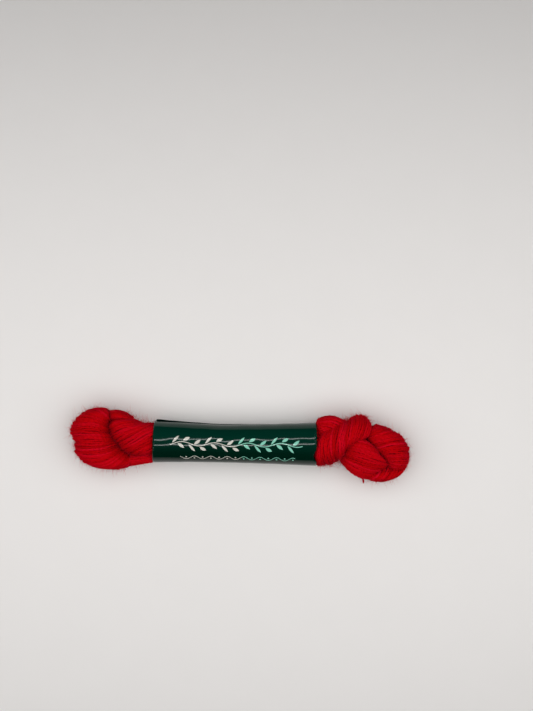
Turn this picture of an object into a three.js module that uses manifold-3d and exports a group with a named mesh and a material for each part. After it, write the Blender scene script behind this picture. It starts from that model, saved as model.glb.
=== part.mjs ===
// A small skein of red wool yarn: one long hank, twisted into a rope and folded over at its ends,
// with a rolled paper band round its middle. X runs along the skein, Y across it and Z up from the
// surface that it lies on. All sizes are millimetres.
import * as THREE from 'three';
import Module from 'manifold-3d';
import { mergeVertices } from 'three/addons/utils/BufferGeometryUtils.js';

// Driving dimensions
const AXIS_Y = 0.35; // the band's axis lies this far from the middle of the skein's width
const AXIS_Z = 9; // height of the band's axis
const SHEET = 1; // thickness of the band's sheet
const CLEARANCE = 0.3; // gap between the yarn and the band
const BAND_FLATTENING = 0.935; // height of the band's section over its width
const LAP_STEP = 0.35; // how proud the sheet's overlapping edge stands along the back of the band
const LAP_LIFT = 0.9; // how much further its corner is lifted at the left end
const LAP_LIFT_LENGTH = 22; // length over which that lift dies away
const LAP_ANGLE = 84; // where the overlapping edge lies, in degrees from the top towards the back
const LAP_WIDTH = 34; // the turn over which the sheet rises to that edge, in degrees
const EDGE_PUSH = 1.1; // how far the yarn pushes the right edge back, at its deepest
const EDGE_PUSH_ANGLE = -30; // where that is, in degrees from the top towards the back
const EDGE_PUSH_WIDTH = 26; // half of its extent, in degrees
const ROPE_START = -49; // the two plies run from here
const ROPE_END = 42; // to here
const ROPE_PITCH = 68; // length of one full turn of each ply
const PLY_OFFSET = 3.4; // distance from the rope's axis to each ply's
const PLY_DEPTH = 3.5; // half of a ply's section, away from the axis
const PLY_BREADTH = 5.4; // half of a ply's section, round the axis
const SLICE_POWER = 2.3; // a slice of yarn is a superellipse of this power

// How finely the surfaces are divided
const SLICE_POINTS = 20;
const SLICES_PER_ROW = 1.25;
const PLY_POINTS = 12;
const ROPE_STEP = 3.5;
const BAND_POINTS = 44;

// The band's width and the drift of its axis along its length
const BAND_STATIONS = table('x halfWidth drift', [
  [-37.8, 9.25, 0.35],
  [-24, 8.75, 0.15],
  [-9, 8.35, -0.2],
  [8, 8.7, -0.1],
  [22, 9.15, 0],
  [33.4, 9.6, 0.1],
]);

// The lobes that the folded hank makes, a row for each upright slice through the yarn. A slice reaches
// from its inner end, in a crease, to its outer end, at the rim or inside the band. It lies between
// the heights low and top, and bows sideways. With a tuck, the inner ends run on under the neighbour.
const SLICE_COLUMNS = 'innerX innerY outerX outerY low top bow';
const LOBES = {
  fold: { tuck: 1, slices: table(SLICE_COLUMNS, [
    [-58.5, 13.5, -62.5, 15, 5, 12, 0.3],
    [-58, 11.5, -68, 14, 1, 16, 0.8],
    [-57.5, 9, -72, 11, -0.5, 17.5, 1.2],
    [-58, 6, -74, 7.5, -0.8, 18, 1],
    [-57.5, 3.5, -74.5, 4, -0.8, 18, 0.5],
    [-56, 1, -73.5, 0.5, -0.8, 18, 0],
    [-54.5, -2, -73, -3, -0.8, 17.5, -0.4],
    [-52, -4, -71.5, -6.5, -0.8, 17, -0.8],
    [-49, -6, -68, -9, -0.8, 15.5, -1.2],
    [-45.5, -7, -62, -10.5, -0.3, 14, -1.2],
    [-43, -8.5, -54.5, -11.5, 2, 11, -0.6],
  ]) },
  crest: { tuck: 1, slices: table(SLICE_COLUMNS, [
    [-56.5, 13.5, -53.5, 13.5, 7, 11, 0.2],
    [-57.5, 12.5, -47, 11, 3, 15, 0.8],
    [-56.5, 10.5, -42, 8, 2, 15.5, 1.5],
    [-54.5, 9, -42.5, 7, 5, 12, 1],
  ]) },
  cross: { tuck: 1.2, slices: table(SLICE_COLUMNS, [
    [-55, 9.5, -48.5, 9.5, 6, 13, 0.8],
    [-57, 8, -42, 7.5, 2, 16.5, 2.2],
    [-57, 5.5, -36.5, 6.5, 0, 18, 3],
    [-56.5, 3.5, -34.5, 5.5, 0, 18, 2.4],
    [-55, 0, -34.5, 4, 0, 18, 1.2],
    [-52.5, -3, -34.5, 1.5, 0, 17, 0.2],
    [-49.5, -5, -34.5, -1, 0, 16, 0],
    [-46, -6, -34.5, -3.5, 2, 14.5, 0],
    [-42.5, -6.5, -35.5, -5, 5, 11, 0],
  ]) },
  heel: { tuck: 1, slices: table(SLICE_COLUMNS, [
    [-48.5, -5.5, -37, -4.5, 4, 11, 0],
    [-51, -7.5, -34.5, -5.5, 0.5, 13, -0.6],
    [-52.5, -9, -34.5, -7, 0.5, 12, -0.8],
    [-49.5, -10.5, -36, -8.5, 4, 9, -0.4],
  ]) },
  root: { tuck: 0, slices: table(SLICE_COLUMNS, [
    [35.5, 11.5, 42, 12.5, 6, 12, 0.4],
    [34, 10, 46.5, 10, 2, 15.5, 2],
    [32, 7.5, 48, 6.5, 1, 16, 2],
    [31.5, 5, 48, 2.5, 1, 15.5, 1.5],
    [31.5, 2.5, 46.5, -1, 2, 14, 0.9],
    [32.5, 0, 44.5, -3, 5, 11, 0.4],
  ]) },
  collar: { tuck: 0, slices: table(SLICE_COLUMNS, [
    [34.5, -3.5, 35.5, 0, 6, 12, 0.2],
    [34, -7, 37, 3.5, 1, 16, 0.6],
    [36, -9, 38.5, 6.5, -0.5, 18, 1.2],
    [39, -9, 40.5, 9, -0.8, 18.8, 1.6],
    [41.5, -8, 43.5, 10.5, -0.8, 19, 1.8],
    [43.5, -7, 45.5, 11, -0.5, 18.6, 1.6],
    [45, -5, 47.5, 10.5, 0.5, 17.5, 1],
    [46, -2, 48, 7.5, 4, 14, 0.4],
  ]) },
  eye: { tuck: 1, slices: table(SLICE_COLUMNS, [
    [46, 2, 47.5, 8.5, 5, 13, 0.3],
    [46.5, -0.5, 48.5, 11.5, 1.5, 17, 1],
    [48, -1, 51, 13, 0, 18, 1.3],
    [49.5, 0, 53.5, 13, 0, 18, 1],
    [51.5, 1.5, 56, 12, 0.8, 17, 0.7],
    [54, 3.5, 57.5, 10, 2.5, 15, 0.4],
    [55.5, 5, 57.5, 7.5, 6, 12, 0.1],
  ]) },
  tongue: { tuck: 0, slices: table(SLICE_COLUMNS, [
    [50.5, 3, 56, 3.5, 6, 13, 0.3],
    [48.5, 1.5, 60, -0.5, 1, 16.5, 0.6],
    [47.5, 0, 63, -4, 0, 17.5, 0.6],
    [46, -2, 65.5, -7, 0, 17.5, 0.3],
    [45, -4, 65.5, -9, 0, 16.5, -0.4],
    [44.5, -6, 63, -11.5, 0, 15, -1],
    [45, -7.5, 60, -14, 1, 13.5, -1.5],
    [46.5, -9.5, 56, -15.5, 4, 10, -0.8],
  ]) },
  tip: { tuck: 1.2, slices: table(SLICE_COLUMNS, [
    [57, 7.5, 60.5, 9, 6, 12, 0.2],
    [56, 5.5, 64.5, 7.5, 1.5, 15.5, 0.8],
    [56.5, 3.5, 69, 6, 0, 17, 1],
    [58, 2, 72, 3.5, -0.6, 17.5, 1],
    [59.5, -0.5, 73.5, 0.5, -0.8, 17.5, 0.6],
    [62, -3.5, 74.5, -2.5, -0.8, 17.5, 0.2],
    [64, -6, 74.5, -5.5, -0.8, 16.8, -0.3],
    [66, -8, 74, -8.5, -0.5, 15.5, -0.5],
    [68, -9.5, 72.5, -10.5, 3, 11, -0.3],
  ]) },
  chin: { tuck: 0, slices: table(SLICE_COLUMNS, [
    [60, -11, 65.5, -9, 4, 11.5, 0],
    [57.5, -13, 70.5, -8, 0, 14, -0.7],
    [57, -14.5, 73.5, -9, -0.8, 14.5, -1.3],
    [58.5, -15, 73, -11, -0.8, 13.5, -1.6],
    [61.5, -15.5, 71.5, -13.5, 0.5, 11.5, -1],
    [64.5, -15.5, 69.5, -14.5, 4, 8.5, -0.3],
  ]) },
};

// Rows of numbers as objects with named columns
function table(columns, rows) {
  const names = columns.split(' ');
  return rows.map((row) => Object.fromEntries(row.map((value, i) => [names[i], value])));
}

// Value of one column at x, in straight steps between the stations
function stationValue(stations, x, column) {
  const last = stations.length - 1;
  let i = 0;
  while (i < last - 1 && x > stations[i + 1].x) i += 1;
  const from = stations[i];
  const to = stations[i + 1];
  const share = THREE.MathUtils.clamp((x - from.x) / (to.x - from.x), 0, 1);
  return THREE.MathUtils.lerp(from[column], to[column], share);
}

// A closed skin over a row of rings, each with the same number of points. The two end rings are
// closed with a fan, or joined to each other when the row of rings is itself a ring.
function loft(rings, endless = false) {
  const size = rings[0].length;
  const points = rings.flat();
  const triangles = [];
  const spans = endless ? rings.length : rings.length - 1;
  for (let r = 0; r < spans; r += 1) {
    const near = r * size;
    const far = ((r + 1) % rings.length) * size;
    for (let k = 0; k < size; k += 1) {
      const next = (k + 1) % size;
      triangles.push(near + k, near + next, far + next, near + k, far + next, far + k);
    }
  }
  if (!endless) {
    for (const [start, flip] of [[0, true], [(rings.length - 1) * size, false]]) {
      const middle = new THREE.Vector3();
      for (let k = 0; k < size; k += 1) middle.addScaledVector(points[start + k], 1 / size);
      points.push(middle);
      const hub = points.length - 1;
      for (let k = 0; k < size; k += 1) {
        const a = start + k;
        const b = start + ((k + 1) % size);
        triangles.push(...(flip ? [hub, b, a] : [hub, a, b]));
      }
    }
  }
  let volume = 0;
  for (let t = 0; t < triangles.length; t += 3) {
    const [a, b, c] = [0, 1, 2].map((i) => points[triangles[t + i]]);
    volume += a.dot(new THREE.Vector3().crossVectors(b, c));
  }
  if (volume < 0) triangles.reverse();
  const geometry = new THREE.BufferGeometry().setFromPoints(points);
  geometry.setIndex(triangles);
  return geometry;
}

// The band's section at x: half of its width, half of its height and the drift of its axis
function bandSection(x) {
  const halfWidth = stationValue(BAND_STATIONS, x, 'halfWidth');
  const drift = stationValue(BAND_STATIONS, x, 'drift');
  return { halfWidth, halfHeight: halfWidth * BAND_FLATTENING, drift };
}

// A smooth hump: 1 at the middle and 0 from the given distance on
function hump(distance, reach) {
  const share = THREE.MathUtils.clamp(Math.abs(distance) / reach, 0, 1);
  return 1 - THREE.MathUtils.smoothstep(share, 0, 1);
}

// Where the band ends on the right, at an angle from the top towards the back
function bandRightEnd(angle) {
  const turned = THREE.MathUtils.radToDeg(angle);
  return BAND_STATIONS.at(-1).x - EDGE_PUSH * hump(turned - EDGE_PUSH_ANGLE, EDGE_PUSH_WIDTH);
}

// How proud the overlapping edge stands at x and at an angle from the top towards the back. The sheet
// comes up the back from below, and rises gently to its edge.
function lapRise(x, angle) {
  const turned = THREE.MathUtils.radToDeg(angle);
  const share = (LAP_ANGLE + LAP_WIDTH - turned) / LAP_WIDTH;
  if (share < 0 || share > 1) return 0;
  const lift = LAP_LIFT * hump(x - BAND_STATIONS[0].x, LAP_LIFT_LENGTH);
  return (LAP_STEP + lift) * THREE.MathUtils.smoothstep(share, 0, 1);
}

// The rolled sheet of the band, or with grow above 0 the room that the yarn leaves for it
function bandGeometry(grow = 0) {
  const rings = [];
  for (let i = 0; i < BAND_POINTS; i += 1) {
    const angle = (i / BAND_POINTS) * 2 * Math.PI - Math.PI;
    const left = BAND_STATIONS[0].x - grow;
    const right = bandRightEnd(angle) + grow;
    const stops = BAND_STATIONS.map((station) => THREE.MathUtils.clamp(station.x, left, right));
    stops[0] = left;
    stops[stops.length - 1] = right;
    const place = (x, depth) => {
      const { halfWidth, halfHeight, drift } = bandSection(x);
      const across = (halfWidth - depth) * Math.sin(angle);
      const up = (halfHeight - depth) * Math.cos(angle);
      return new THREE.Vector3(x, AXIS_Y + drift + across, AXIS_Z + up);
    };
    const outside = stops.map((x) => place(x, -grow - (grow > 0 ? 0 : lapRise(x, angle))));
    const inside = stops.map((x) => place(x, SHEET + grow)).reverse();
    rings.push([...outside, ...inside]);
  }
  return loft(rings, true);
}

// Draws a point of the yarn into the band's mouth, and gives it its room again beyond the mouth
function drawIntoBand(point) {
  const x = THREE.MathUtils.clamp(point.x, BAND_STATIONS[0].x, BAND_STATIONS.at(-1).x);
  const { halfWidth, halfHeight, drift } = bandSection(x);
  const wall = SHEET + CLEARANCE;
  const beyond = Math.abs(point.x - x);
  const room = 1 + 0.33 * Math.sqrt(Math.max(beyond - 0.4, 0)) + 0.02 * beyond;
  const y = point.y - drift;
  const z = point.z - AXIS_Z;
  const reach = Math.hypot(y / (halfWidth - wall), z / (halfHeight - wall));
  const scale = reach > room ? room / reach : 1;
  return new THREE.Vector3(point.x, AXIS_Y + drift + y * scale, AXIS_Z + z * scale);
}

// One lobe of yarn, lofted from its slices
function lobeGeometry({ tuck, slices: rows }) {
  const through = (x, y, z) => new THREE.CatmullRomCurve3(
    rows.map((row) => new THREE.Vector3(row[x], row[y], row[z])), false, 'catmullrom', 0.5);
  const innerEnds = through('innerX', 'innerY', 'low');
  const outerEnds = through('outerX', 'outerY', 'top');
  const bows = through('bow', 'bow', 'bow');
  const count = Math.round((rows.length - 1) * SLICES_PER_ROW);
  const rings = [];
  for (let s = 0; s <= count; s += 1) {
    const inner = innerEnds.getPoint(s / count);
    const outer = outerEnds.getPoint(s / count);
    const onward = new THREE.Vector2(inner.x - outer.x, inner.y - outer.y).setLength(tuck);
    inner.set(inner.x + onward.x, inner.y + onward.y, inner.z);
    rings.push(sliceRing(inner, outer, bows.getPoint(s / count).x));
  }
  return loft(rings);
}

// The closed outline of one upright slice. Slices that run along X bow towards +Y, and those that
// run along Y bow towards -X.
function sliceRing(inner, outer, bow) {
  const half = new THREE.Vector2(outer.x - inner.x, outer.y - inner.y).multiplyScalar(0.5);
  const side = new THREE.Vector2(-half.y, half.x).normalize();
  const alongX = Math.abs(half.x) > Math.abs(half.y);
  if (alongX ? side.y < 0 : side.x > 0) side.negate();
  const middleZ = (outer.z + inner.z) / 2;
  const rise = (outer.z - inner.z) / 2;
  const bulge = (value) => Math.sign(value) * Math.abs(value) ** (2 / SLICE_POWER);
  const ring = [];
  for (let k = 0; k < SLICE_POINTS; k += 1) {
    const turn = (k / SLICE_POINTS) * 2 * Math.PI;
    const along = bulge(Math.cos(turn));
    const sideways = bow * (1 - along * along);
    ring.push(drawIntoBand(new THREE.Vector3(
      (inner.x + outer.x) / 2 + half.x * along + side.x * sideways,
      (inner.y + outer.y) / 2 + half.y * along + side.y * sideways,
      middleZ + rise * bulge(Math.sin(turn)))));
  }
  return ring;
}

// One of the two plies of the rope inside the band
function plyGeometry(startAngle) {
  const steps = Math.round((ROPE_END - ROPE_START) / ROPE_STEP);
  const rings = [];
  for (let s = 0; s <= steps; s += 1) {
    const x = ROPE_START + (s / steps) * (ROPE_END - ROPE_START);
    const turn = startAngle + ((x - ROPE_START) / ROPE_PITCH) * 2 * Math.PI;
    const ring = [];
    for (let k = 0; k < PLY_POINTS; k += 1) {
      const angle = (k / PLY_POINTS) * 2 * Math.PI;
      const away = PLY_OFFSET + PLY_DEPTH * Math.cos(angle);
      const round = PLY_BREADTH * Math.sin(angle);
      ring.push(drawIntoBand(new THREE.Vector3(
        x,
        away * Math.cos(turn) - round * Math.sin(turn),
        AXIS_Z + away * Math.sin(turn) + round * Math.cos(turn))));
    }
    rings.push(ring);
  }
  return loft(rings);
}

// Joining and cutting
const wasm = await Module();
wasm.setup();

function solidOf(geometry) {
  geometry.deleteAttribute('normal');
  geometry.deleteAttribute('uv');
  const welded = mergeVertices(geometry);
  return new wasm.Manifold(new wasm.Mesh({
    numProp: 3,
    vertProperties: new Float32Array(welded.attributes.position.array),
    triVerts: new Uint32Array(welded.index.array),
  }));
}

function geometryOf(solid) {
  const mesh = solid.getMesh();
  const geometry = new THREE.BufferGeometry();
  geometry.setAttribute('position', new THREE.BufferAttribute(mesh.vertProperties, mesh.numProp));
  geometry.setIndex(new THREE.BufferAttribute(mesh.triVerts, 1));
  geometry.computeVertexNormals();
  return geometry;
}

// The whole skein: its lobes and the rope between them, clear of the band and flat where it rests
function skeinGeometry() {
  const pieces = Object.values(LOBES).map(lobeGeometry);
  pieces.push(plyGeometry(0), plyGeometry(Math.PI));
  let yarn = solidOf(pieces[0]);
  for (const piece of pieces.slice(1)) yarn = yarn.add(solidOf(piece));
  const below = new THREE.BoxGeometry(200, 60, 10).translate(0, 0, -5);
  return geometryOf(yarn.subtract(solidOf(bandGeometry(CLEARANCE))).subtract(solidOf(below)));
}

const wool = new THREE.MeshStandardMaterial({ color: 0xa5030c, roughness: 0.95, metalness: 0 });
const paper = new THREE.MeshStandardMaterial({ color: 0x042c23, roughness: 0.3, metalness: 0 });

const skein = new THREE.Mesh(skeinGeometry(), wool);
skein.name = 'skein';

const band = new THREE.Mesh(bandGeometry(), paper);
band.name = 'band';

const group = new THREE.Group();
group.add(skein, band);

export default group;
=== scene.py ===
# Looks of the skein of merino wool yarn and its paper band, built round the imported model.
# Everything is worked out in millimetres and made in metres: X along the skein, Y across it, Z up.
import math

import bpy
import numpy as np
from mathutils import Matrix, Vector


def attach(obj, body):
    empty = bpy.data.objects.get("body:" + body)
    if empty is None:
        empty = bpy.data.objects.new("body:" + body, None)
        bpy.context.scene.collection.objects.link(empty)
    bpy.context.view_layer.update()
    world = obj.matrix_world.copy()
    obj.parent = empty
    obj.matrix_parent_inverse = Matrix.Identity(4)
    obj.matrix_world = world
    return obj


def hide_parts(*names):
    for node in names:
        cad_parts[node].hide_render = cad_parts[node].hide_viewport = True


MM = 0.001
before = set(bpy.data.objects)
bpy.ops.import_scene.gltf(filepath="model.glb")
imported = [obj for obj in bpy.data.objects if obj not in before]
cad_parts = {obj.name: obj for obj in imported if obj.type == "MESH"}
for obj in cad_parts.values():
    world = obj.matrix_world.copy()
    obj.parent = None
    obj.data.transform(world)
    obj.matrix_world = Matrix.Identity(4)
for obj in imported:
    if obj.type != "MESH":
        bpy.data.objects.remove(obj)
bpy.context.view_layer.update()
rng = np.random.default_rng(11)

# The camera: straight above, a little past the skein's back, and turned by the skew seen in the photograph
IMAGE_LONG_SIDE = 711  # pixels
SENSOR = 36.0
CAMERA_HEIGHT = 600.0
AXIS_HEIGHT = 9.0  # height of the band's axis, where the scale holds
MM_PER_PIXEL = 0.4432
CAMERA_X = 11.2
CAMERA_FROM_AXIS = 39.1
SKEW = math.radians(0.78)

# The band, as in the CAD: half of its width and the drift of its axis along its length
BAND = np.array([
    # x, half width, drift
    (-37.8, 9.25, 0.35),
    (-24.0, 8.75, 0.15),
    (-9.0, 8.35, -0.20),
    (8.0, 8.70, -0.10),
    (22.0, 9.15, 0.00),
    (33.4, 9.60, 0.10),
])
BAND_FLATTENING = 0.935  # height of its section over its width
AXIS_Y = 0.35  # the band's axis lies this far from the middle of the skein's width

# The band's ends. The yarn pushes the right one back, round an angle from the top towards the back.
EDGE_PUSH = 1.4
EDGE_PUSH_ANGLE = -30.0
EDGE_PUSH_WIDTH = 26.0
EDGE_OUT = 0.3  # how far the paper reaches past the CAD's band
EDGE_ASKEW = 0.25  # how much the left end leans

# The yarn
STRAND = 1.22  # thickness
PLY_PITCH = 4.0  # length in which its two plies turn once
PLY_GROOVE = 0.14  # depth of the groove between the plies, over the strand's radius
SLICE_POWER = 2.0  # a slice of yarn is a superellipse of this power
SLICE_STEPS = 400  # points worked out round a slice
TURN = np.arange(SLICE_STEPS) / SLICE_STEPS  # the share of a turn at each of them
# Painted shade darkens the strands towards a lobe's crease: it starts at the first of these and grows with
# the power of the second
CREASE_SHADE_FROM = 0.35  # where the crease starts, from 0 at a slice's middle to 1 at its inner end
CREASE_SHADE_POWER = 1.5
RIM_ROUGH = 0.24  # how unevenly the strands stand out at the rim
RIPPLE = 0.10  # how far a strand rises and falls round its lobe
UNEVEN = 0.06  # how far the strands differ in height
THINNEST, THICKEST = 0.98, 1.14  # how the strands differ in thickness

# The strands' shades, from 0 for the darkest wool to 1 for the lightest
SHADE, SHADE_SPREAD = 0.52, 0.10
DARKEST, LIGHTEST = 0.2, 0.9
# Lower shades in the darker inner wool: painted shade for the strands under the outer layer and for the
# cores
INNER_PAINTED_SHADE = 0.4
CORE_PAINTED_SHADE = 0.2

# The layers of strands on a lobe: how far apart they lie, how far out from its slices, how far inside the
# band's outside, the step between a strand's points, and how far it strays, in spacings
SPACING = STRAND * 0.80
OUTER_LAYER = {"spacing": SPACING, "out": -0.25, "wall": 0.75, "step": 0.6, "stray": 0.22}
INNER_LAYER = {"spacing": SPACING * 1.1, "out": -0.95, "wall": 1.3, "step": 1.0, "stray": 0.12}

# The strands that coil inwards on a lobe's first and last slice
COIL_SPACING = 0.85
COIL_OUT = -1.5
COIL_EYE = 0.25  # how small the coil gets in its middle
COIL_ROW = 0.1  # how far inside the lobe's end they lie, in rows

# The core that closes a lobe behind its strands, in the darker inner wool: painted shade seen through the
# gaps
CORE_OUT = -1.3
CORE_WALL = 1.8
CORE_FLOOR = 1.2
CORE_ROWS = 24
CORE_SIDES = 28

# The lobes that the folded hank makes. Each has its tuck, which is how far the inner ends run on under the
# neighbour, and its painted crease shade, how much darker its strands are painted towards the crease. Then
# comes a row for each upright slice through the yarn: the x and y of the inner end, in a crease, and of the
# outer end, at the rim or inside the band, then the lowest and highest point and the sideways bow.
LOBES = {
    "fold": (0.6, 0.42, [
        (-57.8, 12.2, -60.0, 14.6, 5.0, 12.0, 0.2),
        (-57.8, 10.2, -64.0, 14.6, 1.0, 16.0, 1.0),
        (-58.2, 8.2, -68.8, 13.0, -0.5, 17.5, 2.0),
        (-58.2, 6.4, -72.8, 9.4, -0.8, 18.0, 2.4),
        (-57.8, 4.8, -74.8, 5.8, -0.8, 18.0, 2.0),
        (-57.0, 2.8, -74.8, 3.4, -0.8, 18.0, 1.3),
        (-55.8, 1.0, -73.0, 0.2, -0.8, 18.0, 0.3),
        (-54.6, -0.6, -73.0, -2.6, -0.8, 18.0, -0.9),
        (-53.2, -2.4, -72.4, -5.2, -0.8, 17.6, -1.8),
        (-52.0, -3.4, -70.2, -8.2, -0.8, 17.0, -2.2),
        (-50.8, -4.4, -65.6, -10.6, -0.8, 16.0, -2.4),
        (-49.6, -5.2, -61.0, -11.6, -0.8, 15.0, -2.0),
        (-48.6, -5.8, -57.0, -12.0, -0.5, 13.8, -1.2),
        (-47.6, -7.2, -53.0, -11.8, 0.5, 12.0, -0.5),
        (-47.2, -9.0, -50.0, -11.0, 3.0, 9.0, 0.0),
    ]),
    "crest": (0.6, 0.00, [
        (-57.0, 13.6, -52.0, 13.0, 7.0, 11.5, 0.3),
        (-57.4, 12.4, -49.2, 11.6, 3.0, 15.0, 1.0),
        (-57.4, 10.8, -47.2, 9.8, 2.0, 16.0, 1.0),
        (-56.6, 9.2, -48.0, 9.0, 5.0, 12.0, 1.0),
    ]),
    "cross": (0.7, 0.46, [
        (-56.2, 8.8, -51.6, 9.8, 6.0, 13.0, 0.6),
        (-57.2, 7.2, -47.6, 9.6, 2.0, 16.5, 1.4),
        (-57.2, 5.2, -44.4, 8.8, 0.0, 17.8, 1.6),
        (-56.6, 3.0, -41.8, 8.0, 0.0, 18.0, 1.2),
        (-55.2, 0.8, -39.4, 8.2, 0.0, 18.0, 0.8),
        (-53.8, -0.8, -37.2, 7.8, 0.0, 18.0, 0.5),
        (-52.2, -2.6, -35.4, 7.0, 0.0, 18.0, 0.3),
        (-50.4, -4.0, -34.6, 5.0, 0.0, 17.3, 0.0),
        (-48.4, -5.0, -34.6, 2.4, 0.5, 16.2, 0.0),
        (-45.8, -5.4, -34.6, -0.6, 1.5, 15.0, 0.0),
        (-43.2, -6.0, -35.0, -3.4, 5.0, 11.5, 0.0),
    ]),
    "heel": (4.5, 0.24, [
        (-47.2, -5.8, -35.8, -4.0, 4.0, 11.0, 0.0),
        (-47.8, -7.4, -34.4, -5.8, 0.5, 13.5, -0.5),
        (-48.0, -9.2, -34.4, -7.4, 0.5, 12.0, -0.4),
        (-48.4, -10.6, -37.6, -8.6, 2.0, 8.5, 0.3),
    ]),
    "root": (0.0, 0.10, [
        (34.4, 11.0, 45.6, 10.8, 5.0, 12.0, 1.5),
        (33.4, 10.0, 46.8, 8.8, 2.0, 15.5, 2.0),
        (33.0, 8.8, 44.6, 5.2, 1.0, 16.0, 2.0),
        (32.8, 7.2, 41.4, 3.0, 3.0, 14.8, 1.0),
        (32.8, 5.4, 38.6, 1.4, 4.0, 13.0, 0.5),
    ]),
    "collar": (0.0, 0.38, [
        (33.6, -8.8, 35.0, 3.8, 2.0, 13.8, 0.8),
        (35.2, -9.2, 36.8, 6.2, 0.8, 16.4, 1.8),
        (37.8, -8.8, 38.8, 8.0, -0.5, 18.0, 2.5),
        (40.2, -8.6, 41.0, 9.0, -0.8, 18.8, 2.7),
        (42.2, -7.4, 43.8, 10.6, -0.8, 19.0, 2.4),
        (44.0, -6.6, 46.0, 10.8, -0.5, 18.7, 1.8),
        (45.2, -5.4, 47.8, 10.6, 0.3, 18.3, 1.3),
        (46.2, -3.2, 49.2, 9.0, 3.0, 16.4, 0.8),
    ]),
    "eye": (0.6, 0.30, [
        (44.6, -2.2, 47.0, 10.0, 3.0, 16.6, 0.4),
        (46.2, -1.8, 49.0, 11.8, 1.0, 18.0, 0.3),
        (47.8, -1.2, 51.2, 13.0, 0.0, 18.4, -0.2),
        (49.8, 0.2, 53.6, 13.2, 0.0, 18.0, -1.0),
        (52.2, 1.8, 55.8, 12.2, 0.8, 17.3, -1.5),
        (54.6, 3.2, 57.4, 10.2, 2.5, 15.5, -1.0),
        (56.4, 4.2, 58.0, 7.4, 6.0, 12.0, -0.3),
    ]),
    "tongue": (0.0, 0.32, [
        (50.0, 3.2, 55.4, 2.4, 6.0, 13.0, 0.4),
        (48.4, 2.0, 59.8, -1.2, 1.0, 16.5, 1.2),
        (47.0, 0.2, 62.6, -4.6, 0.0, 17.5, 1.4),
        (46.0, -1.8, 65.2, -7.4, 0.0, 17.5, 0.8),
        (45.2, -3.8, 65.6, -9.2, 0.0, 17.0, -0.6),
        (44.8, -5.4, 62.6, -11.4, 0.0, 15.5, -1.6),
        (44.8, -7.0, 60.0, -14.0, 1.0, 13.5, -1.9),
        (46.6, -9.2, 56.4, -15.2, 3.0, 10.0, -1.0),
    ]),
    "tip": (0.7, 0.14, [
        (57.2, 7.0, 60.2, 9.0, 6.0, 12.0, 0.2),
        (56.2, 4.6, 64.6, 7.8, 1.5, 15.5, 0.8),
        (57.0, 2.6, 68.8, 5.8, 0.0, 17.0, 1.2),
        (58.4, 0.4, 72.2, 3.2, -0.6, 17.5, 1.2),
        (60.2, -1.6, 73.8, 0.2, -0.8, 17.5, 0.8),
        (62.2, -3.4, 74.8, -2.8, -0.8, 17.5, 0.3),
        (64.2, -5.4, 74.8, -5.6, -0.8, 16.8, -0.3),
        (65.8, -7.0, 74.0, -8.6, -0.5, 15.5, -0.6),
        (65.8, -9.0, 72.0, -11.2, 3.0, 11.5, -0.3),
    ]),
    "chin": (0.0, 0.10, [
        (56.4, -14.8, 61.0, -11.2, 3.0, 11.0, 0.0),
        (58.6, -15.6, 64.0, -9.8, 0.0, 14.0, -0.6),
        (61.4, -16.0, 66.6, -9.2, -0.8, 14.5, -0.9),
        (64.6, -15.8, 69.4, -8.8, -0.8, 14.2, -0.9),
        (67.6, -14.6, 72.4, -9.0, -0.5, 13.5, -0.6),
        (70.2, -13.0, 73.8, -9.4, 3.0, 11.0, 0.0),
    ]),
}


def slices_at(rows, t):
    """The rows at the row numbers t, on a smooth curve through them."""
    p = np.vstack([2 * rows[0] - rows[1], rows, 2 * rows[-1] - rows[-2]])
    t = np.clip(t, 0, len(rows) - 1 - 1e-9)
    i = t.astype(int)
    f = (t - i)[..., None]
    a, b, c, d = p[i], p[i + 1], p[i + 2], p[i + 3]
    return 0.5 * (2 * b + (c - a) * f + (2 * a - 5 * b + 4 * c - d) * f ** 2
                  + (3 * b - a - 3 * c + d) * f ** 3)


def lobe_point(rows, t, q, out=0.0):
    """The point at row number t and q of a turn round its slice, from the outer end over the top.
    With out above 0 it stands proud of the slice."""
    r = slices_at(rows, t)
    inner, outer = r[..., 0:2], r[..., 2:4]
    low, top, bow = r[..., 4], r[..., 5], r[..., 6]
    along = np.cos(2 * np.pi * q)
    up = np.sin(2 * np.pi * q)
    along = np.sign(along) * np.abs(along) ** (2 / SLICE_POWER)
    up = np.sign(up) * np.abs(up) ** (2 / SLICE_POWER)
    middle, half = (inner + outer) / 2, (outer - inner) / 2
    length = np.linalg.norm(half, axis=-1) + 1e-9
    ahead = half / length[..., None]
    side = np.stack([-ahead[..., 1], ahead[..., 0]], -1)
    lies_along_x = np.abs(ahead[..., 0]) > np.abs(ahead[..., 1])
    sense = np.where(lies_along_x, np.sign(side[..., 1]), -np.sign(side[..., 0]))
    sideways = sense * bow * (1 - along ** 2)
    xy = middle + ahead * ((length + out) * along)[..., None] + side * sideways[..., None]
    z = (top + low) / 2 + ((top - low) / 2 + out) * up
    return np.concatenate([xy, z[..., None]], -1)


def tucked(table, tuck):
    """The rows with their inner ends drawn further into the crease."""
    rows = np.array(table)
    back = rows[:, 0:2] - rows[:, 2:4]
    rows[:, 0:2] += tuck * back / np.linalg.norm(back, axis=1)[:, None]
    return rows


def band_at(x):
    """Half of the band's width and the drift of its axis at x."""
    return np.interp(x, BAND[:, 0], BAND[:, 1]), np.interp(x, BAND[:, 0], BAND[:, 2])


def hump(distance, reach):
    """1 at the middle and 0 from the reach on, smoothly."""
    share = np.clip(np.abs(distance) / reach, 0, 1)
    return 1 - share * share * (3 - 2 * share)


def band_left_end(degrees):
    """Where the band ends on the left, at an angle from the top towards the back."""
    return BAND[0, 0] - EDGE_OUT + EDGE_ASKEW * np.sin(np.radians(degrees))


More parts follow.
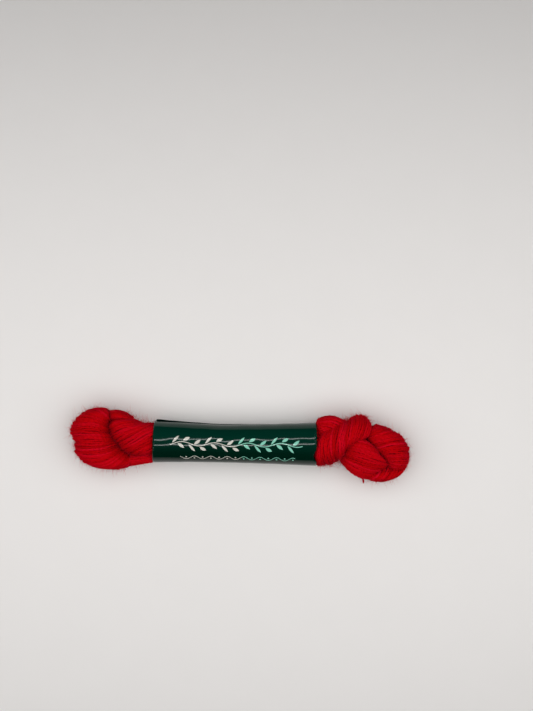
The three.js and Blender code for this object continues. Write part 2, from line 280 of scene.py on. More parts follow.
def band_right_end(degrees):
    """Where the band ends on the right, at an angle from the top towards the back."""
    return BAND[-1, 0] + EDGE_OUT - EDGE_PUSH * hump(degrees - EDGE_PUSH_ANGLE, EDGE_PUSH_WIDTH)


# How fast the yarn spreads again once it is out of the band
MOUTH_LENGTH = 0.4
MOUTH_FLARE = 0.33
MOUTH_SLOPE = 0.02


def draw_into_band(p, wall):
    """Draws points into the band, as far inside it as the wall says, and gives them room beyond it."""
    half, drift = band_at(p[..., 0])
    y, z = p[..., 1] - drift, p[..., 2] - AXIS_HEIGHT
    degrees = np.degrees(np.arctan2(y, z))
    x = np.clip(p[..., 0], band_left_end(degrees), band_right_end(degrees))
    beyond = np.abs(p[..., 0] - x)
    room = 1 + MOUTH_FLARE * np.sqrt(np.maximum(beyond - MOUTH_LENGTH, 0)) + MOUTH_SLOPE * beyond
    reach = np.hypot(y / (half - wall), z / (half * BAND_FLATTENING - wall))
    scale = np.where(reach > room, room / np.maximum(reach, 1e-6), 1.0)
    drawn = p.copy()
    drawn[..., 1] = drift + y * scale
    drawn[..., 2] = AXIS_HEIGHT + z * scale
    return drawn


def new_mesh(name, points, faces, material, smooth=True):
    """A mesh object of quads or triangles, with its points in millimetres round the band's axis."""
    points = points.copy()
    points[:, 1] += AXIS_Y
    mesh = bpy.data.meshes.new(name)
    mesh.vertices.add(len(points))
    mesh.vertices.foreach_set("co", (points * MM).astype(np.float32).ravel())
    mesh.loops.add(faces.size)
    mesh.loops.foreach_set("vertex_index", faces.astype(np.int32).ravel())
    mesh.polygons.add(len(faces))
    starts = np.arange(0, faces.size, faces.shape[1], dtype=np.int32)
    mesh.polygons.foreach_set("loop_start", starts)
    mesh.polygons.foreach_set("loop_total", np.full(len(faces), faces.shape[1], np.int32))
    mesh.polygons.foreach_set("use_smooth", np.full(len(faces), smooth))
    mesh.update()
    piece = bpy.data.objects.new(name, mesh)
    bpy.context.scene.collection.objects.link(piece)
    mesh.materials.append(material)
    return piece


def set_floats(piece, name, values):
    """A number for each point, for the material."""
    attribute = piece.data.attributes.new(name, "FLOAT", "POINT")
    attribute.data.foreach_set("value", values.astype(np.float32))


def set_uvs(piece, name, uvs):
    """A UV map from an array with a row for each face corner."""
    layer = piece.data.uv_layers.new(name=name)
    layer.uv.foreach_set("vector", uvs.astype(np.float32).ravel())


def even_steps(path, step, closed):
    """The path with its points a step apart."""
    ends = np.vstack([path, path[:1]]) if closed else path
    run = np.concatenate([[0], np.cumsum(np.linalg.norm(np.diff(ends[:, :3], axis=0), axis=1))])
    count = max(8, int(run[-1] / step))
    at = np.arange(count) / count * run[-1] if closed else np.linspace(0, run[-1], count)
    return np.stack([np.interp(at, run, ends[:, k]) for k in range(ends.shape[1])], -1)


def turning_frames(path, closed):
    """Two directions across the path at each point, without needless turning."""
    if closed:
        ahead = np.roll(path, -1, 0) - np.roll(path, 1, 0)
    else:
        ahead = np.gradient(path, axis=0)
    ahead /= np.linalg.norm(ahead, axis=1)[:, None] + 1e-9
    across = np.zeros_like(ahead)
    now = np.cross(ahead[0], [0.3, 0.5, 0.8])
    for i, direction in enumerate(ahead):
        now = now - direction * (now @ direction)
        now /= np.linalg.norm(now)
        across[i] = now
    return across, np.cross(ahead, across)


def tubes(name, paths, radii, shades, material, sides=8, closed=True, groove=PLY_GROOVE, tip=1.0):
    """Strands or fibres of yarn along the paths, as one mesh. The ring of each is that of two plies, and
    turns along the path. An open path thins towards its end, to the share tip of its radius. A shade is
    one number for the strand or one for each of its points."""
    angles = np.arange(sides) / sides * 2 * np.pi
    shape = 1 - groove + groove * np.cos(2 * angles)
    runs = []
    for path in paths:
        ends = np.vstack([path, path[:1]]) if closed else path
        runs.append(np.concatenate([[0], np.cumsum(np.linalg.norm(np.diff(ends, axis=0), axis=1))]))
    room = max(run[-1] for run in runs) * 1.02
    points, faces, tints, corners = [], [], [], []
    base = 0
    for number, (path, run, radius, shade) in enumerate(zip(paths, runs, radii, shades)):
        count = len(path)
        across, up = turning_frames(path, closed)
        turn = angles[None] + (run[:count] / PLY_PITCH * 2 * np.pi)[:, None]
        thinning = 1.0 if closed else np.linspace(1, tip, count)[:, None]
        depth = (radius * thinning * shape)[..., None]
        points.append((path[:, None] + depth * (np.cos(turn)[..., None] * across[:, None]
                                                + np.sin(turn)[..., None] * up[:, None])).reshape(-1, 3))
        tints.append(np.repeat(np.broadcast_to(shade, count), sides))
        i, k = np.meshgrid(np.arange(len(run) - 1), np.arange(sides), indexing="ij")
        j, m = (i + 1) % count, (k + 1) % sides
        faces.append(base + np.stack([i * sides + k, i * sides + m, j * sides + m, j * sides + k],
                                     -1).reshape(-1, 4))
        u = np.stack([run[i], run[i], run[i + 1], run[i + 1]], -1)
        v = np.stack([k, k + 1, k + 1, k], -1) / sides
        row = np.full(u.shape, number)
        corners.append(np.stack([u, v, row], -1).reshape(-1, 3))
        base += count * sides
    piece = new_mesh(name, np.vstack(points), np.vstack(faces), material)
    set_floats(piece, "shade", np.concatenate(tints))
    u, v, row = np.vstack(corners).T
    set_uvs(piece, "OFBake", np.stack([u / room, (row + 0.05 + 0.9 * v) / len(paths)], -1))
    set_uvs(piece, "strand", np.stack([u, v], -1))
    return piece


def material_of(name, roughness, specular):
    """A material with its nodes, its surface node and its tree."""
    made = bpy.data.materials.new(name)
    made.use_nodes = True
    surface = made.node_tree.nodes["Principled BSDF"]
    surface.inputs["Roughness"].default_value = roughness
    surface.inputs["Specular IOR Level"].default_value = specular
    return made, surface, made.node_tree


def ramp(tree, fac, stops):
    """A colour ramp through the stops (place, red, green, blue)."""
    node = tree.nodes.new("ShaderNodeValToRGB")
    while len(node.color_ramp.elements) < len(stops):
        node.color_ramp.elements.new(0.5)
    for element, (place, *colour) in zip(node.color_ramp.elements, stops):
        element.position = place
        element.color = (*colour, 1)
    tree.links.new(fac, node.inputs["Fac"])
    return node.outputs["Color"]


class Term:
    """A number that the material's nodes work out, with the usual signs."""

    def __init__(self, tree, socket):
        self.tree, self.socket = tree, socket

    def join(self, operation, *others):
        node = self.tree.nodes.new("ShaderNodeMath")
        node.operation = operation
        for slot, term in zip(node.inputs, (self, *others)):
            if isinstance(term, Term):
                self.tree.links.new(term.socket, slot)
            else:
                slot.default_value = term
        return Term(self.tree, node.outputs[0])

    def __add__(self, other):
        return self.join("ADD", other)

    def __sub__(self, other):
        return self.join("SUBTRACT", other)

    def __mul__(self, other):
        return self.join("MULTIPLY", other)

    def between(self, low, high):
        """1 from low to high and 0 outside."""
        return self.join("GREATER_THAN", low) * self.join("LESS_THAN", high)


# The fine fibres in a strand, as a noise drawn out along it and turned round it
NOISE_ALONG = 0.8
NOISE_AROUND = 14
NOISE_TWIST = 2.2
FIBRE_TONE = 0.6  # how much the fibres differ in tone
FIBRE_LIFT = 0.06 * MM


def yarn_material(name, stops):
    """Wool: plies of fine fibres, its colour by strand and fibre between the stops."""
    made, surface, tree = material_of(name, 0.9, 0.02)
    surface.inputs["Sheen Weight"].default_value = 0.24
    surface.inputs["Sheen Roughness"].default_value = 0.4
    surface.inputs["Sheen Tint"].default_value = (1.0, 0.02, 0.10, 1)
    uv = tree.nodes.new("ShaderNodeUVMap")
    uv.uv_map = "strand"
    split = tree.nodes.new("ShaderNodeSeparateXYZ")
    tree.links.new(uv.outputs["UV"], split.inputs[0])
    along, around = (Term(tree, split.outputs[i]) for i in (0, 1))
    place = tree.nodes.new("ShaderNodeCombineXYZ")
    tree.links.new((along * NOISE_ALONG).socket, place.inputs[0])
    tree.links.new((around * NOISE_AROUND + along * NOISE_TWIST).socket, place.inputs[1])
    fibres = tree.nodes.new("ShaderNodeTexNoise")
    fibres.inputs["Scale"].default_value = 1.0
    fibres.inputs["Detail"].default_value = 3.0
    tree.links.new(place.outputs[0], fibres.inputs["Vector"])
    # The shade attribute holds each strand's own tone, with painted crease shade on the outer strands and a
    # painted glow on the rim fibres
    shade = tree.nodes.new("ShaderNodeAttribute")
    shade.attribute_name = "shade"
    tone = Term(tree, shade.outputs["Fac"]) + (Term(tree, fibres.outputs["Fac"]) - 0.5) * FIBRE_TONE
    tree.links.new(ramp(tree, tone.socket, stops), surface.inputs["Base Color"])
    bump = tree.nodes.new("ShaderNodeBump")
    bump.inputs["Strength"].default_value = 0.55
    bump.inputs["Distance"].default_value = FIBRE_LIFT
    tree.links.new(fibres.outputs["Fac"], bump.inputs["Height"])
    tree.links.new(bump.outputs["Normal"], surface.inputs["Normal"])
    return made


# The wool's tones. The painted crease shade takes the strands down towards the darkest stop
WOOL = yarn_material("wool", [
    # place, red, green, blue
    (0.00, 0.150, 0.0001, 0.0006),
    (0.28, 0.375, 0.0002, 0.0016),
    (0.50, 0.495, 0.0004, 0.0028),
    (0.90, 0.690, 0.0030, 0.0230),
])
# Wool for the fine fibres. Its pale pink top stop is a painted glow, which the fibres at the rim reach
# towards their tips
WOOL_FIBRES_PAINTED_GLOW = yarn_material("wool_fibres_painted_glow", [
    # place, red, green, blue
    (0.20, 0.480, 0.0006, 0.0045),
    (0.60, 0.620, 0.0030, 0.0160),
    (1.00, 0.860, 0.2200, 0.2300),
])
# A darker copy of the wool, as painted shade, for the strands under the outer layer, the cores and the
# plies inside the band
WOOL_INNER_PAINTED_SHADE = yarn_material("wool_inner_painted_shade", [
    # place, red, green, blue
    (0.10, 0.300, 0.0002, 0.0010),
    (0.90, 0.460, 0.0004, 0.0030),
])


def strand_places(rows, spacing):
    """The row numbers of strands that lie the spacing apart over the lobe, and their step in rows."""
    t = np.linspace(0, len(rows) - 1, SLICE_STEPS)
    crown, rim = (lobe_point(rows, t, np.full(SLICE_STEPS, q)) for q in (0.25, 0.0))
    hops = np.maximum(np.linalg.norm(np.diff(crown, axis=0), axis=1),
                      np.linalg.norm(np.diff(rim, axis=0), axis=1))
    run = np.concatenate([[0], np.cumsum(hops)])
    count = max(3, int(run[-1] / spacing))
    return np.interp((np.arange(count) + 0.5) / count * run[-1], run, t), (len(rows) - 1) / count


def lobe_strands(rows, spacing, out, wall, step, stray):
    """Closed paths of one layer of strands round a lobe, a little uneven, with how deep in the lobe's
    crease each point lies as a fourth number."""
    places, pitch = strand_places(rows, spacing)
    turns = 2 * np.pi * TURN
    # How deep each point lies in the crease, which sets the painted crease shade
    crease = np.clip((-np.cos(turns) - CREASE_SHADE_FROM) / (1 - CREASE_SHADE_FROM), 0, 1) ** CREASE_SHADE_POWER
    paths = []
    for t in places:
        phase = rng.uniform(0, 2 * np.pi, 4)
        slip = pitch * stray * (np.sin(2 * turns + phase[0]) + 0.6 * np.sin(5 * turns + phase[1]))
        rise = out + RIPPLE * np.sin(3 * turns + phase[2]) + UNEVEN * rng.normal()
        rise = rise + RIM_ROUGH * rng.normal() * np.maximum(np.cos(turns), 0) ** 4
        path = lobe_point(rows, np.clip(t + slip, 0, len(rows) - 1), TURN, rise)
        path = even_steps(np.column_stack([path, crease]), step, True)
        path[:, :3] = draw_into_band(path[:, :3], wall)
        path[:, 2] = np.maximum(path[:, 2], STRAND / 2)
        paths.append(path)
    return paths


def end_coils(rows):
    """Closed paths of the strands that coil inwards on the first and the last slice of a lobe."""
    paths = []
    for t in (COIL_ROW, len(rows) - 1 - COIL_ROW):
        inner_x, inner_y, outer_x, outer_y, low, top, _ = slices_at(rows, np.array(t))
        room = min(math.hypot(outer_x - inner_x, outer_y - inner_y), top - low) / 2
        for out in np.arange(COIL_OUT, COIL_EYE - room, -COIL_SPACING):
            path = lobe_point(rows, np.full(SLICE_STEPS, t), TURN, out)
            path = even_steps(path, OUTER_LAYER["step"], True)
            paths.append(draw_into_band(path, INNER_LAYER["wall"]))
    return paths


def lobe_core(name, rows):
    """A plain body inside the strands of a lobe."""
    row = np.linspace(0, len(rows) - 1, CORE_ROWS)
    t, q = np.meshgrid(row, np.arange(CORE_SIDES) / CORE_SIDES, indexing="ij")
    points = draw_into_band(lobe_point(rows, t, q, CORE_OUT), CORE_WALL).reshape(-1, 3)
    points[:, 2] = np.maximum(points[:, 2], CORE_FLOOR)
    i, k = np.meshgrid(np.arange(CORE_ROWS - 1), np.arange(CORE_SIDES), indexing="ij")
    here, ahead = i * CORE_SIDES, (i + 1) * CORE_SIDES
    m = (k + 1) % CORE_SIDES
    quads = np.stack([here + k, ahead + k, ahead + m, here + m], -1).reshape(-1, 4)
    # Painted shade: the core is in the darker inner wool, at its lowest shade
    piece = new_mesh(name, points, quads, WOOL_INNER_PAINTED_SHADE)
    set_floats(piece, "shade", np.full(len(points), CORE_PAINTED_SHADE))
    u = np.stack([i, i + 1, i + 1, i], -1) / (CORE_ROWS - 1)
    v = np.stack([k, k, k + 1, k + 1], -1) / CORE_SIDES
    spread = np.stack([u, v], -1).reshape(-1, 2)
    set_uvs(piece, "OFBake", spread)
    set_uvs(piece, "strand", spread * 30)
    return piece


def lobe_pieces(lobe, tuck, painted_crease_shade, table):
    """The three pieces of a lobe: its outer strands, the strands under them and its core."""
    rows = tucked(table, tuck)
    outer = lobe_strands(rows, **OUTER_LAYER)
    inner = lobe_strands(rows, **INNER_LAYER)
    radii = STRAND / 2 * rng.uniform(THINNEST, THICKEST, len(outer))
    shades = []
    for path in outer:
        shade = np.clip(rng.normal(SHADE, SHADE_SPREAD), DARKEST, LIGHTEST)
        # Painted shade: each strand is painted darker towards the lobe's crease
        shades.append(shade - painted_crease_shade * path[:, 3])
    outer = [path[:, :3] for path in outer]
    inner = [path[:, :3] for path in inner] + end_coils(rows)
    inner_radii = np.full(len(inner), STRAND / 2)
    # Painted shade: the strands under the outer layer are in the darker inner wool
    inner_shades = np.full(len(inner), INNER_PAINTED_SHADE)
    return [
        tubes("yarn_" + lobe, outer, radii, shades, WOOL),
        tubes("inner_" + lobe, inner, inner_radii, inner_shades, WOOL_INNER_PAINTED_SHADE, sides=6),
        lobe_core("core_" + lobe, rows),
    ]


yarn_pieces = []
for lobe, (tuck, painted_crease_shade, table) in LOBES.items():
    yarn_pieces += lobe_pieces(lobe, tuck, painted_crease_shade, table)

# The band's paper: one sheet, rolled more than once round, with its free edge towards the back
PAPER = 0.2  # thickness
FREE_EDGE = 84.0  # where the free edge starts on the left, in degrees from the top towards the back
FREE_EDGE_SKEW = 34.0  # how much further round it ends on the right
PAPER_TURN = 420.0  # how far the whole sheet goes round, in degrees
LAP_STEP = 0.32  # how far the free edge stands off the turn under it
LAP_LIFT = 0.55  # how much further its corner is lifted on the left
LAP_REACH = 34.0  # the turn over which the sheet rises to its free edge, in degrees
LAP_LIFT_LENGTH = 22.0  # the length over which the corner's lift dies away
TUCKED_FROM = 346.0  # where the sheet starts to go under its own free edge, in degrees along its turn
TUCKED_FADE = 14.0
TUCKED_GAP = 0.3
CORNER_BACK = 1.1  # how far the left end is set back at the free edge
CORNER_REACH = 46.0  # the turn over which that dies away, in degrees
WAVE = 0.03  # height of the paper's slight waves
SHEET_ROWS = 169
SHEET_COLUMNS = 110
PAPER_RADIUS = 0.967 * BAND[:, 1].mean()  # for measures round the sheet


def lap_rise(from_edge, x):
    """How far the free edge's side stands off the turn under it, at an angle from that edge."""
    share = np.clip(from_edge / LAP_REACH, 0, 1)
    from_left = np.clip((x - BAND[0, 0]) / LAP_LIFT_LENGTH, 0, 1)
    return (LAP_STEP + LAP_LIFT * (1 - from_left) ** 2) * (1 - share) ** 2


def free_edge_at(x):
    """The free edge's angle from the top: it runs a little askew, further back on the right."""
    return FREE_EDGE + FREE_EDGE_SKEW * np.clip((x - BAND[0, 0]) / (BAND[-1, 0] - BAND[0, 0]), 0, 1)


def paper_point(s, x, inwards):
    """A point of the sheet at the share s of its length from the free edge, inwards from its outside."""
    from_edge = PAPER_TURN * s
    degrees = from_edge + free_edge_at(x)
    tucked_in = np.clip((from_edge - TUCKED_FROM) / TUCKED_FADE, 0, 1)
    under = np.minimum(lap_rise(from_edge - 360, x) - TUCKED_GAP, 0) * tucked_in
    wave = WAVE * np.sin(x / 1.9 + 0.6 * np.sin(degrees / 23)) * np.sin(degrees / 31 + x / 7)
    half, drift = band_at(x)
    depth = lap_rise(from_edge, x) + under + wave - inwards
    angle = np.radians(degrees)
    return np.stack([x, drift + (half + depth) * np.sin(angle),
                     AXIS_HEIGHT + (half * BAND_FLATTENING + depth) * np.cos(angle)], -1)


def wrapped(degrees):
    """The same angle, between -180 and 180 degrees."""
    return (degrees + 180) % 360 - 180


def paper_sheet(name, front, back):
    """The band: the sheet's outer and inner face, with its four edges."""
    s, a = np.meshgrid(np.linspace(0, 1, SHEET_ROWS), np.linspace(0, 1, SHEET_COLUMNS), indexing="ij")
    left = band_left_end(wrapped(FREE_EDGE + PAPER_TURN * s))
    right = band_right_end(wrapped(FREE_EDGE + FREE_EDGE_SKEW + PAPER_TURN * s))
    corner = CORNER_BACK * np.clip(1 - PAPER_TURN * s / CORNER_REACH, 0, 1) ** 2
    x = left + corner + a * (right - left - corner)
    points = np.vstack([paper_point(s, x, inwards).reshape(-1, 3) for inwards in (0, PAPER)])
    number = np.arange(s.size).reshape(s.shape)
    outside = np.stack([number[:-1, :-1], number[:-1, 1:], number[1:, 1:], number[1:, :-1]], -1)
    outside = outside.reshape(-1, 4)
    inside = outside[:, ::-1] + s.size
    rims = []
    for line in (number[:, 0], number[-1, :], number[::-1, -1], number[0, ::-1]):
        rims.append(np.stack([line[:-1], line[1:], line[1:] + s.size, line[:-1] + s.size], -1))
    faces = np.vstack([outside, inside, *rims])
    piece = new_mesh(name, points, faces, front)
    from_top = np.radians(free_edge_at(x) + PAPER_TURN * s - 360) * PAPER_RADIUS
    set_floats(piece, "along_mm", np.tile(x.ravel(), 2))
    set_floats(piece, "round_mm", np.tile(from_top.ravel(), 2))
    layer = np.repeat([0.0, 0.5], s.size)
    flat = np.stack([np.tile(a.ravel(), 2), np.tile(s.ravel(), 2) * 0.49 + layer], -1)
    set_uvs(piece, "OFBake", flat[faces.ravel()])
    piece.data.materials.append(back)
    shows_back = np.arange(len(faces)) >= len(outside)
    piece.data.polygons.foreach_set("material_index", shows_back.astype(np.int32))
    return piece


# The print on the band: a leafy garland with a dotted rule below it, placed along the band from its middle
# and round it from its top. Both change from cream to mint part of the way along.
GARLAND_FROM = -30.5
GARLAND_TO = 27.5
GARLAND_TURNS_MINT = -1.7
STEM_WAVE = 14.4
STEM_SWING = 0.8
STEM_HALF_WIDTH = 0.17
LEAF_PITCH = 4.8
LEAF_PAIRS = 12
LEAF_HALF_LENGTH = 1.8
LEAF_HALF_WIDTH = 0.62
LEAF_FROM_STEM = 1.6
LEAF_LEAN = math.radians(38)
RULE_FROM = -26.0
RULE_TO = 24.4
RULE_PLACE = -6.8
RULE_WAVE = 7.2
RULE_SWING = 0.95
RULE_HALF_WIDTH = 0.15
DOT_OFF_WAVE = 0.35  # how far the dots follow the wave's other side
DOT_RADIUS_SQUARED = 0.13
INK_EDGE = 4  # how sharply one ink gives way to the other

# How the paper's green differs: a fine speckle in its tone, and painted light that makes it lighter towards
# the back
SPECKLE = 0.5
SPECKLE_SCALE = 900.0
PAINTED_LIGHT_TO_BACK = 0.11


def leaf(u, v, stem, shift, side):
    """1 inside the garland's leaves on one side of the stem."""
    a = (u + shift).join("FLOORED_MODULO", LEAF_PITCH) - LEAF_PITCH / 2
    b = (v - stem) * side - LEAF_FROM_STEM
    ahead = a * math.cos(LEAF_LEAN) + b * math.sin(LEAF_LEAN)
    across = b * math.cos(LEAF_LEAN) - a * math.sin(LEAF_LEAN)
    room = (ahead * ahead) * (-LEAF_HALF_WIDTH / LEAF_HALF_LENGTH ** 2) + LEAF_HALF_WIDTH
    return (room - across.join("ABSOLUTE")).join("GREATER_THAN", 0.0)


def garland(u, v, stem):
    """1 inside the garland, along a stem that waves."""
    line = (v - stem).join("ABSOLUTE").join("LESS_THAN", STEM_HALF_WIDTH)
    line = line * u.between(GARLAND_FROM, GARLAND_TO)
    last = GARLAND_FROM + LEAF_PAIRS * LEAF_PITCH
    above = leaf(u, v, stem, -GARLAND_FROM, 1.0) * u.between(GARLAND_FROM, last)
    below = leaf(u, v, stem, LEAF_PITCH / 2 - GARLAND_FROM, -1.0) * u.between(
        GARLAND_FROM + LEAF_PITCH / 2, last - LEAF_PITCH / 2)
    return line.join("MAXIMUM", above).join("MAXIMUM", below)


def dotted_rule(u, v):
    """1 inside the waving rule and the dots in its hollows."""
    wave = (u * (2 * math.pi / RULE_WAVE)).join("SINE") * RULE_SWING
    curve = (v - RULE_PLACE - wave).join("ABSOLUTE").join("LESS_THAN", RULE_HALF_WIDTH)
    pitch = RULE_WAVE / 2
    aside = u.join("FLOORED_MODULO", pitch) - pitch / 2
    rise = v - RULE_PLACE + wave * DOT_OFF_WAVE
    dots = (aside * aside + rise * rise).join("LESS_THAN", DOT_RADIUS_SQUARED)
    return curve.join("MAXIMUM", dots) * u.between(RULE_FROM, RULE_TO)


def paper_front():
    """Glossy dark green paper with its print."""
    made, surface, tree = material_of("paper_front", 0.08, 0.25)
    place = {}
    for name in ("along_mm", "round_mm"):
        node = tree.nodes.new("ShaderNodeAttribute")
        node.attribute_name = name
        place[name] = Term(tree, node.outputs["Fac"])
    u, v = place["along_mm"], place["round_mm"]
    stem = (u * (2 * math.pi / STEM_WAVE)).join("SINE") * STEM_SWING
    printed = garland(u, v, stem).join("MAXIMUM", dotted_rule(u, v))
    speckle = tree.nodes.new("ShaderNodeTexNoise")
    speckle.inputs["Scale"].default_value = SPECKLE_SCALE
    # The green's tone: a speckle, and painted light that lightens it towards the back
    tone = (Term(tree, speckle.outputs["Fac"]) - 0.5) * SPECKLE + (v + 1.0) * PAINTED_LIGHT_TO_BACK + 0.5
    green = ramp(tree, tone.socket, [
        (0.20, 0.0002, 0.0125, 0.0068),
        (0.80, 0.0005, 0.0250, 0.0155),
    ])
    turns = v.join("LESS_THAN", stem) * (LEAF_PITCH / 2) + GARLAND_TURNS_MINT
    mint = (u - turns) * INK_EDGE + 0.5
    ink = ramp(tree, mint.socket, [
        (0.20, 0.600, 0.580, 0.520),
        (0.80, 0.220, 0.560, 0.430),
    ])
    mix = tree.nodes.new("ShaderNodeMix")
    mix.data_type = "RGBA"
    tree.links.new(printed.socket, mix.inputs["Factor"])
    tree.links.new(green, mix.inputs["A"])
    tree.links.new(ink, mix.inputs["B"])
    tree.links.new(mix.outputs["Result"], surface.inputs["Base Color"])
    return made


def plain_material(name, roughness, specular, scale, stops):
    """A material whose colour varies a little by a noise in the object's own place."""
    made, surface, tree = material_of(name, roughness, specular)
    noise = tree.nodes.new("ShaderNodeTexNoise")
    noise.inputs["Scale"].default_value = scale
    place = tree.nodes.new("ShaderNodeTexCoord")
    tree.links.new(place.outputs["Object"], noise.inputs["Vector"])
    tree.links.new(ramp(tree, noise.outputs["Fac"], stops), surface.inputs["Base Color"])
    return made


PAPER_BACK = plain_material("paper_back", 0.6, 0.3, 700.0, [
    (0.30, 0.0010, 0.0170, 0.0120),
    (0.70, 0.0014, 0.0230, 0.0160),
])
band_piece = paper_sheet("band_paper", paper_front(), PAPER_BACK)

# The hank's two plies inside the band, each a bundle of strands
ROPE_START = -47.0
ROPE_END = 41.0
ROPE_STEPS = 76
ROPE_PITCH = 68.0  # length of one full turn of each ply
ROPE_WALL = 1.1  # how far inside the band's outside its strands stay
PLY_OFFSET = 3.4  # from the rope's axis to each ply's
PLY_DEPTH = 3.5  # half of a ply's section, away from the axis
PLY_BREADTH = 5.4  # half of a ply's section, round the axis
PLY_RINGS = ((12, 0.80), (7, 0.42))  # the strands in each ring of a ply, and the ring's size
PLY_STRAND_RADIUS = 0.75


def rope_strands():
    """The paths of the strands in the rope's two plies."""
    along = np.linspace(ROPE_START, ROPE_END, ROPE_STEPS)
    paths = []
    for start in (0.0, np.pi):
        turn = start + 2 * np.pi * (along - ROPE_START) / ROPE_PITCH
        for ring, share in PLY_RINGS:
            for place in np.arange(ring) / ring * 2 * np.pi:
                out = PLY_OFFSET + PLY_DEPTH * share * math.cos(place)
                aside = PLY_BREADTH * share * math.sin(place)
                y = np.cos(turn) * out - np.sin(turn) * aside
                z = np.sin(turn) * out + np.cos(turn) * aside
                paths.append(draw_into_band(np.stack([along, y, AXIS_HEIGHT + z], -1), ROPE_WALL))
    return paths


bundle = rope_strands()
shades = rng.uniform(0.3, 0.6, len(bundle))
radii = np.full(len(bundle), PLY_STRAND_RADIUS)
# In the darker inner wool, as painted shade
yarn_pieces.append(tubes("yarn_in_band", bundle, radii, shades, WOOL_INNER_PAINTED_SHADE, sides=6, closed=False))

# The fuzz: fine fibres that stand off the wool of each end, more of them on the larger lobes
FIBRES = 8000  # on each end
FIBRE_SIDES = 3
FIBRE_POINTS = 4
FIBRE_SHORTEST = 0.4
FIBRE_THINNEST, FIBRE_THICKEST = 0.03, 0.055  # radius
FIBRE_TIP = 0.4  # radius of its tip over that of its root
FIBRE_ROOT = 0.25  # how deep it starts in the wool
FIBRE_WALL = 0.95  # how far inside the band's outside its foot stays
FIBRE_CURL = 0.45
LOWEST_FIBRE = 0.05
CLEAR_OF_BAND = 0.15
LOBES_OF_END = {
    "left": ["fold", "crest", "cross", "heel"],
    "right": ["root", "collar", "eye", "tongue", "tip", "chin"],
}


def unit(vector):
    """The same direction with the length 1."""
    return vector / (np.linalg.norm(vector) + 1e-9)


def fibre(rows):
    """The path, radius and shades of one fibre from somewhere on a lobe, or nothing where it would be in
    the band or the floor."""
    t = rng.uniform(0.3, len(rows) - 1.3, 1)
    q = rng.choice([rng.uniform(0, 1), rng.normal(0, 0.07), rng.normal(0.5, 0.07)], 1)
    start = lobe_point(rows, t, q, 0.0)[0]
    foot = draw_into_band(lobe_point(rows, t, q, 0.0), FIBRE_WALL)[0]
    out = unit(lobe_point(rows, t, q, 1.0)[0] - start)
    along_strand = unit(lobe_point(rows, t, q + 0.01, 0.0)[0] - start)
    aside = np.cross(out, along_strand)
    length = rng.gamma(1.9, 0.6) + FIBRE_SHORTEST
    lean, swing, curl = rng.normal(0, 1.0), rng.normal(0, 0.7), rng.normal(0, 0.9, 2)
    share = np.linspace(0, 1, FIBRE_POINTS)[:, None]
    heading = out * rng.uniform(0.35, 1.0) + along_strand * lean + aside * swing
    heading /= np.linalg.norm(heading)
    bend = (along_strand * curl[0] + aside * curl[1]) * length * FIBRE_CURL
    path = foot - out * FIBRE_ROOT + heading * length * share + bend * share ** 2
    from_band = np.where(path[:, 0] > 0, path[:, 0] - BAND[-1, 0], BAND[0, 0] - path[:, 0])
    if path[:, 2].min() < LOWEST_FIBRE or from_band.min() < CLEAR_OF_BAND:
        return None
    radius = rng.uniform(FIBRE_THINNEST, FIBRE_THICKEST)
    # Painted light: a fibre that stands out sideways at the rim is painted lighter towards its tip, a
    # painted glow
    shades = rng.uniform(0.25, 0.6) + 0.5 * (1 - abs(out[2])) ** 3 * share[:, 0]
    return path, radius, shades


def fuzz(name, lobes):
    """The fibres of one end."""
    tables = {lobe: np.array(LOBES[lobe][2]) for lobe in lobes}
    sizes = [np.linalg.norm(rows[:, 2:4] - rows[:, 0:2], axis=1).sum() for rows in tables.values()]
    chances = np.array(sizes) / np.sum(sizes)
    fibres = []
    while len(fibres) < FIBRES:
        made = fibre(tables[rng.choice(lobes, p=chances)])
        if made is not None:
            fibres.append(made)
    paths, radii, shades = zip(*fibres)
    piece = tubes(name, paths, radii, shades, WOOL_FIBRES_PAINTED_GLOW, sides=FIBRE_SIDES, closed=False, groove=0.0,
                  tip=FIBRE_TIP)
    piece.visible_shadow = False
    return piece


for end, lobes in LOBES_OF_END.items():
    yarn_pieces.append(fuzz("fuzz_" + end, lobes))

# The strand's end that shows below the right end
STRAND_END = np.array([
    # x, y, z
    (55.0, -14.6, 2.6),
    (55.2, -15.6, 1.8),
    (55.4, -16.6, 1.2),
    (55.5, -17.6, 0.9),
])
STRAND_END_RADIUS = 0.6
yarn_pieces.append(tubes("yarn_end", [even_steps(STRAND_END, 0.3, False)], [STRAND_END_RADIUS], [0.5], WOOL,
                         sides=6, closed=False, tip=0.6))

for piece in yarn_pieces:
    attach(piece, "root")
    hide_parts("skein")
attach(band_piece, "root")
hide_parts("band")

# The plain floor
FLOOR = plain_material("floor", 0.85, 0.2, 60.0, [
    (0.30, 0.800, 0.776, 0.758),
    (0.70, 0.806, 0.782, 0.764),
])
FLOOR_REACH = 1500.0
corners = FLOOR_REACH * np.array([(-1, -1, 0), (1, -1, 0), (1, 1, 0), (-1, 1, 0)])
floor = new_mesh("floor", corners, np.array([[0, 1, 2, 3]]), FLOOR, smooth=False)

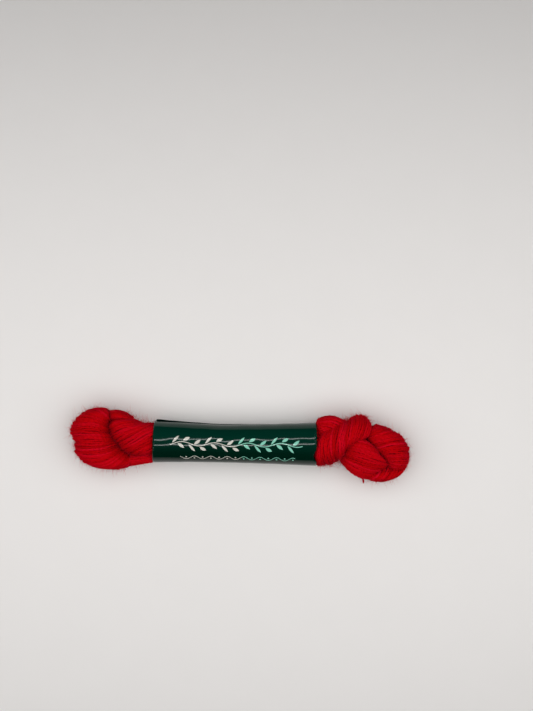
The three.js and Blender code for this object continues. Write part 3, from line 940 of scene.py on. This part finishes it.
# The lights: a wide soft one that doesn't show in the gloss, and two strips that show there as fine lines
OVERHEAD = (0, -4, 235)
OVERHEAD_SIZE = (900, 395)
OVERHEAD_RADIANCE = 1.44
STRIP_HEIGHT = 300
STRIP_WIDTH = 9
STRIP_RADIANCE = 14.0
SURROUNDINGS = 0.11


def area_light(name, place, turn, size, radiance, shown_in_gloss):
    """A level rectangle of even light that shines down, turned by an angle."""
    light = bpy.data.lights.new(name, "AREA")
    light.shape = "RECTANGLE"
    light.size, light.size_y = size[0] * MM, size[1] * MM
    light.energy = math.pi * light.size * light.size_y * radiance
    lamp = bpy.data.objects.new(name, light)
    lamp.location = Vector(place) * MM
    lamp.rotation_euler = (0, 0, turn)
    lamp.visible_camera = False
    lamp.visible_glossy = shown_in_gloss
    bpy.context.scene.collection.objects.link(lamp)
    return lamp


def strip_light(name, first, last):
    """A narrow light between two points, seen as a fine line in the band's gloss."""
    run = Vector(last) - Vector(first)
    middle = (Vector(first) + Vector(last)) / 2
    size = (run.length, STRIP_WIDTH)
    turn = math.atan2(run.y, run.x)
    lamp = area_light(name, (*middle, STRIP_HEIGHT), turn, size, STRIP_RADIANCE, True)
    lamp.visible_diffuse = False


area_light("overhead", OVERHEAD, 0, OVERHEAD_SIZE, OVERHEAD_RADIANCE, False)
strip_light("line_back", (-200, -309), (180, 573))
strip_light("line_front", (-200, -357), (180, 300))

world = bpy.data.worlds.new("surroundings")
world.use_nodes = True
world.node_tree.nodes["Background"].inputs["Color"].default_value = (1.0, 1.0, 1.0, 1)
world.node_tree.nodes["Background"].inputs["Strength"].default_value = SURROUNDINGS
world.cycles_visibility.glossy = False
bpy.context.scene.world = world
bpy.context.scene.view_settings.view_transform = "Standard"

# The camera, at the place that the values at the top give
camera = bpy.data.objects.new("camera", bpy.data.cameras.new("camera"))
camera.data.sensor_width = SENSOR
camera.data.lens = (CAMERA_HEIGHT - AXIS_HEIGHT) / MM_PER_PIXEL / IMAGE_LONG_SIDE * SENSOR
camera.data.clip_end = 20.0
camera.location = (CAMERA_X * MM, (CAMERA_FROM_AXIS + AXIS_Y) * MM, CAMERA_HEIGHT * MM)
camera.rotation_euler = (0, 0, SKEW)
bpy.context.scene.collection.objects.link(camera)
bpy.context.scene.camera = camera
